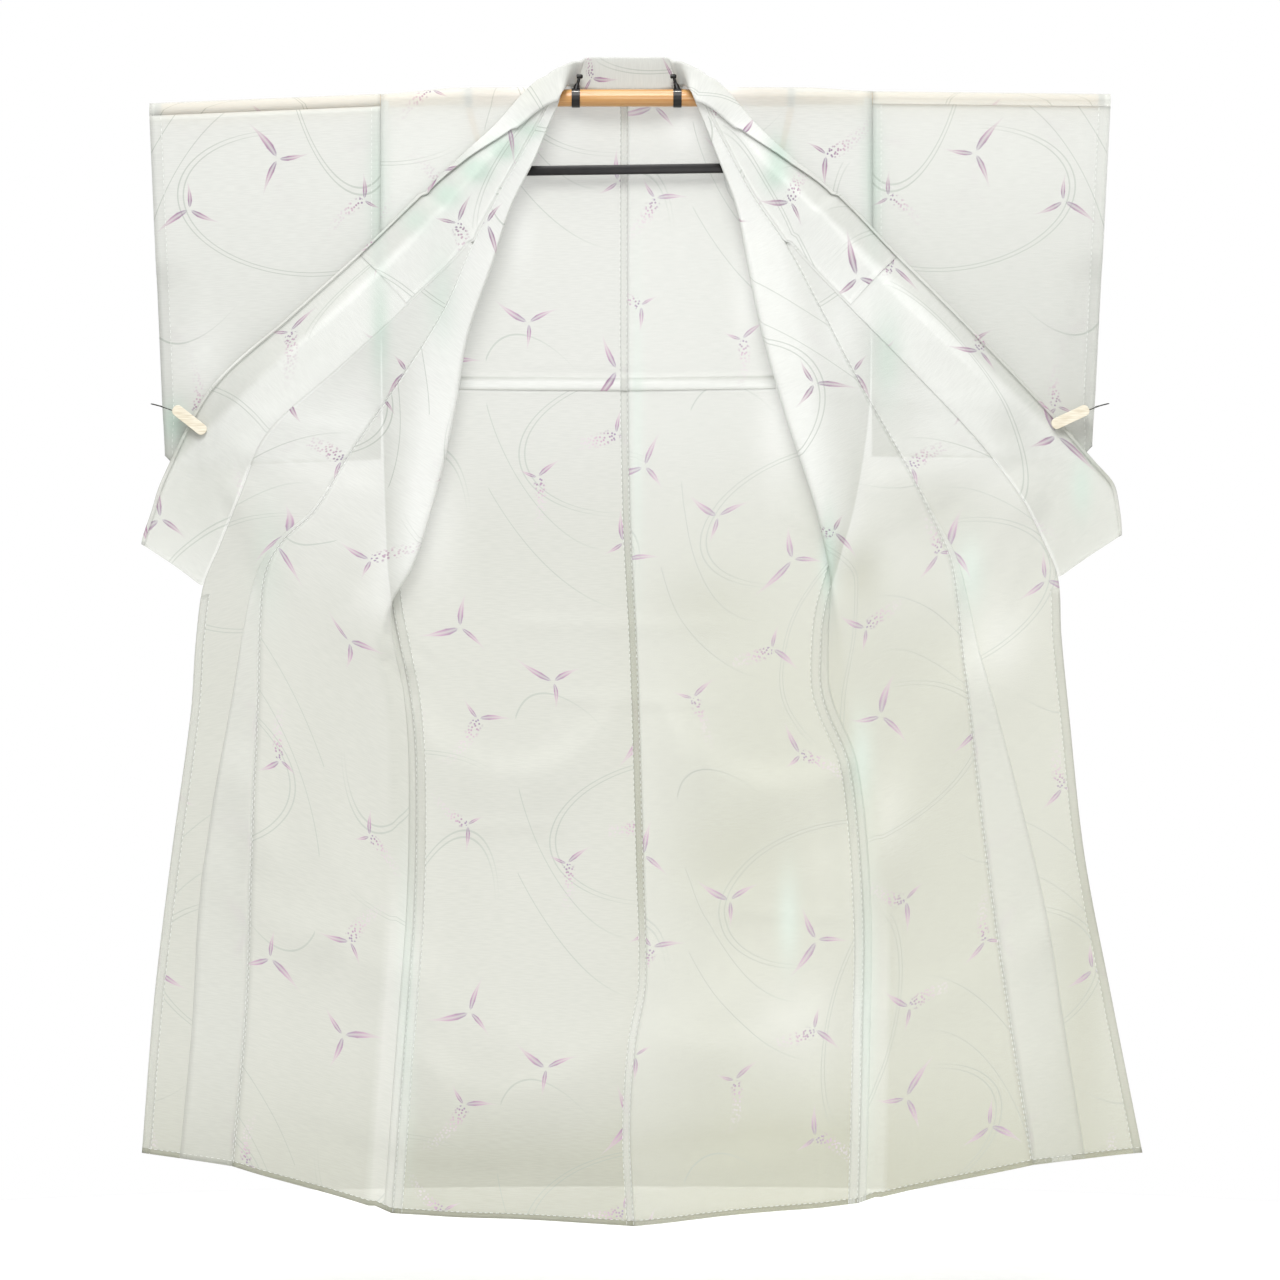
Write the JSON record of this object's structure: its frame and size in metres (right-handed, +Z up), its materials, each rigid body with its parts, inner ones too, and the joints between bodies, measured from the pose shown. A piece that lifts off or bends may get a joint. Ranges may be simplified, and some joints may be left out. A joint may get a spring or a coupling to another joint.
{
  "type": "summer kimono on an extending hanger rod",
  "caption": "Sheer off-white summer kimono with a lilac leaf print, hung open on a wooden hanger rod, its fronts folded out to the sleeves and held by two pegs.",
  "frame": {"origin": "centre of the hanger's wooden rod, halfway along its thick middle length", "axes": "+X along the rod, towards the right sleeve of the picture, +Y from the opened fronts towards the back panels, +Z up"},
  "size_m": [1.3866, 0.0819, 1.6262],
  "materials": {
    "printed_sheer_cloth": "matte",
    "plain_collar_lining": "matte",
    "hanger_wood": "satin",
    "black_plastic": "satin",
    "peg_wood": "matte",
    "dark_wire": "satin"
  },
  "bodies": {
    "root": {"body_left": "printed_sheer_cloth", "body_right": "printed_sheer_cloth", "okumi_left": "printed_sheer_cloth", "okumi_right": "printed_sheer_cloth", "sleeve_left": "printed_sheer_cloth", "sleeve_right": "printed_sheer_cloth", "collar": "printed_sheer_cloth", "over_collar": "printed_sheer_cloth", "collar_lining_left": "plain_collar_lining", "collar_lining_right": "plain_collar_lining", "rod_middle": "hanger_wood", "rod_arm_left": "hanger_wood", "rod_arm_right": "hanger_wood", "hanging_arm_left": "hanger_wood", "hanging_arm_right": "hanger_wood", "joint_band_left": "black_plastic", "joint_band_right": "black_plastic", "end_cap_left": "black_plastic", "end_cap_right": "black_plastic", "ring_clamp_left": "black_plastic", "ring_clamp_right": "black_plastic", "lower_bar": "black_plastic", "peg_left": "peg_wood", "peg_right": "peg_wood", "peg_wire_left": "dark_wire", "peg_wire_right": "dark_wire"}
  },
  "joints": []
}
